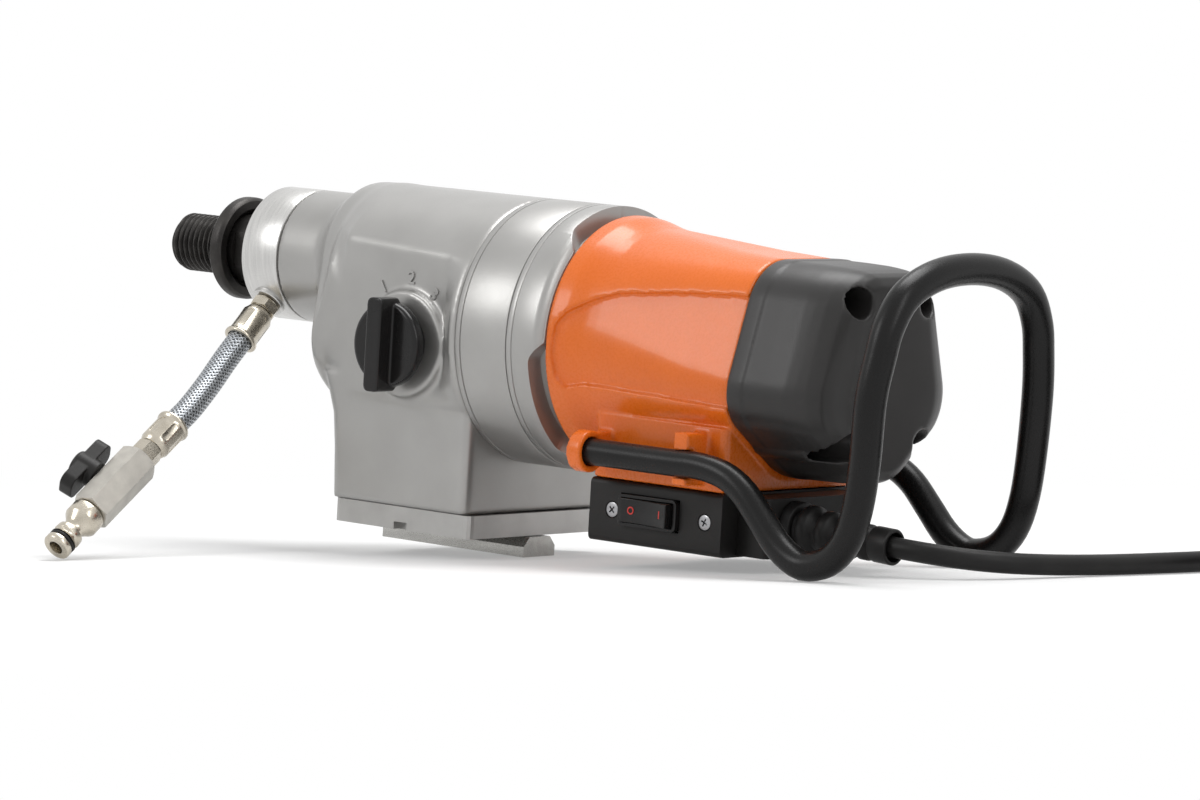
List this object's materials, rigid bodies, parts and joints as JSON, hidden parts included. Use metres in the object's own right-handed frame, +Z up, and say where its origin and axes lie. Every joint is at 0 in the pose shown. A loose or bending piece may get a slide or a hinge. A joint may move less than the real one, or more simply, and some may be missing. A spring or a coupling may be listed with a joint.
{
  "type": "core drill motor",
  "caption": "Three-speed electric core drill motor with threaded spindle, water collar and hose valve, dovetail shoe, selector knob, switch box, tube carrying handle and mains lead.",
  "frame": {"origin": "centre of the mounting shoe's flat face, the side that goes against the drill stand's carriage", "axes": "+X forward with the spindle, +Y to the tool's left, the side with the speed knob and the hose, +Z up. The tool stands on the floor on its shoe's rear edge and the handle's two bottoms, so its own axis rises 4.36 degrees towards the spindle"},
  "size_m": [0.7789, 0.455, 0.1975],
  "materials": {
    "silver_paint": "silver-painted aluminium casting",
    "machined_aluminium": "machined",
    "bright_steel": "ground",
    "dark_steel": "phosphated",
    "gear_steel": "case-hardened",
    "nickel": "zinc-nickel plated steel",
    "orange_plastic": "gloss moulded",
    "black_plastic": "satin moulded",
    "dark_grey_plastic": "satin moulded",
    "black_tube": "satin powder coat",
    "black_rubber": "satin",
    "copper": "copper",
    "core_steel": "laminated steel",
    "carbon": "pressed carbon",
    "braid": "steel braid under a clear jacket"
  },
  "bodies": {
    "casing": {"gearbox_front_casing": "silver_paint", "gearbox_ring_casing": "silver_paint", "gearbox_rear_flange": "silver_paint", "gearbox_bearing_plate": "machined_aluminium", "base_plate": "machined_aluminium", "mounting_shoe": "bright_steel", "shoe_screw_1": "dark_steel", "shoe_screw_2": "dark_steel", "water_collar": "machined_aluminium", "front_seal": "black_rubber", "rear_seal": "black_rubber", "spindle_front_bearing": "bright_steel", "spindle_rear_bearing": "bright_steel", "stator": "core_steel", "brush_holder_left": "copper", "brush_holder_right": "copper", "carbon_brush_left": "carbon", "carbon_brush_right": "carbon", "motor_front_bearing": "bright_steel", "motor_rear_bearing": "bright_steel", "motor_housing": "orange_plastic", "motor_end_cap": "dark_grey_plastic", "cap_screw_1": "dark_steel", "cap_screw_2": "dark_steel", "cap_screw_3": "dark_steel", "cap_screw_4": "dark_steel", "carrying_handle": "black_tube", "switch_box": "black_plastic", "switch_surround": "black_plastic", "panel_screw_1": "dark_steel", "panel_screw_2": "dark_steel", "water_port_fitting": "nickel", "upper_hose_ferrule": "nickel", "water_hose": "braid", "lower_hose_ferrule": "nickel", "hose_nut": "nickel", "valve_body": "bright_steel", "hose_nipple": "nickel", "nipple_o_ring": "black_rubber", "cable_boot": "black_rubber", "cable_sleeve": "black_rubber", "mains_cable": "black_rubber", "cable_coil": "black_rubber", "mains_plug": "black_rubber"},
    "spindle": {"spindle": "dark_steel", "middle_speed_gear": "gear_steel"},
    "low_gear": {"low_speed_gear": "gear_steel"},
    "high_gear": {"high_speed_gear": "gear_steel"},
    "layshaft": {"layshaft": "gear_steel"},
    "intermediate": {"intermediate_shaft": "gear_steel"},
    "armature": {"armature_shaft": "gear_steel", "armature_core": "core_steel", "commutator": "copper", "cooling_fan": "black_plastic"},
    "selector": {"selector_knob": "black_plastic", "selector_shaft": "gear_steel"},
    "fork": {"shift_fork": "machined_aluminium"},
    "rocker": {"rocker_switch": "black_plastic"},
    "valve_lever": {"valve_lever": "black_plastic", "valve_ball_and_stem": "bright_steel"}
  },
  "joints": [
    {"name": "spindle_spin", "type": "hinge", "parent": "casing", "child": "spindle", "pos_m": [-0.01096, 0, 0.14458], "axis": [0.9971, 0, 0.0756], "continuous": true},
    {"name": "layshaft_spin", "type": "hinge", "parent": "casing", "child": "layshaft", "pos_m": [-0.00718, 0, 0.09473], "axis": [0.9971, 0, 0.0756], "continuous": true},
    {"name": "low_gear_spin", "type": "hinge", "parent": "casing", "child": "low_gear", "pos_m": [-0.01096, 0, 0.14458], "axis": [0.9971, 0, 0.0756], "continuous": true},
    {"name": "high_gear_spin", "type": "hinge", "parent": "casing", "child": "high_gear", "pos_m": [-0.01096, 0, 0.14458], "axis": [0.9971, 0, 0.0756], "continuous": true},
    {"name": "intermediate_spin", "type": "hinge", "parent": "casing", "child": "intermediate", "pos_m": [-0.00815, -0.02376, 0.10752], "axis": [0.9971, 0, 0.0756], "continuous": true},
    {"name": "armature_spin", "type": "hinge", "parent": "casing", "child": "armature", "pos_m": [-0.00899, 0, 0.11866], "axis": [0.9971, 0, 0.0756], "continuous": true},
    {"name": "selector_turn", "type": "hinge", "parent": "casing", "child": "selector", "pos_m": [-0.00828, 0, 0.10919], "axis": [0, 1, 0], "range_deg": [-30, 30]},
    {"name": "fork_slide", "type": "slide", "parent": "casing", "child": "fork", "axis": [0.9971, 0, 0.0756], "range_m": [-0.006, 0.006]},
    {"name": "rocker_tip", "type": "hinge", "parent": "casing", "child": "rocker", "pos_m": [-0.17043, 0.053, 0.02569], "axis": [-0.0756, 0, 0.9971], "range_deg": [0, 12]},
    {"name": "valve_turn", "type": "hinge", "parent": "casing", "child": "valve_lever", "pos_m": [0.12173, 0.14385, 0.03314], "axis": [0.8139, 0.3225, 0.4832], "range_deg": [0, 90]}
  ],
  "couplings": [
    {"joint": "layshaft_spin", "follows": "spindle_spin", "ratio": -1.5},
    {"joint": "low_gear_spin", "follows": "spindle_spin", "ratio": 0.56897},
    {"joint": "high_gear_spin", "follows": "spindle_spin", "ratio": 1.5},
    {"joint": "intermediate_spin", "follows": "spindle_spin", "ratio": 4.5},
    {"joint": "armature_spin", "follows": "spindle_spin", "ratio": -15.188},
    {"joint": "fork_slide", "follows": "selector_turn", "m_per_rad": -0.011459}
  ]
}
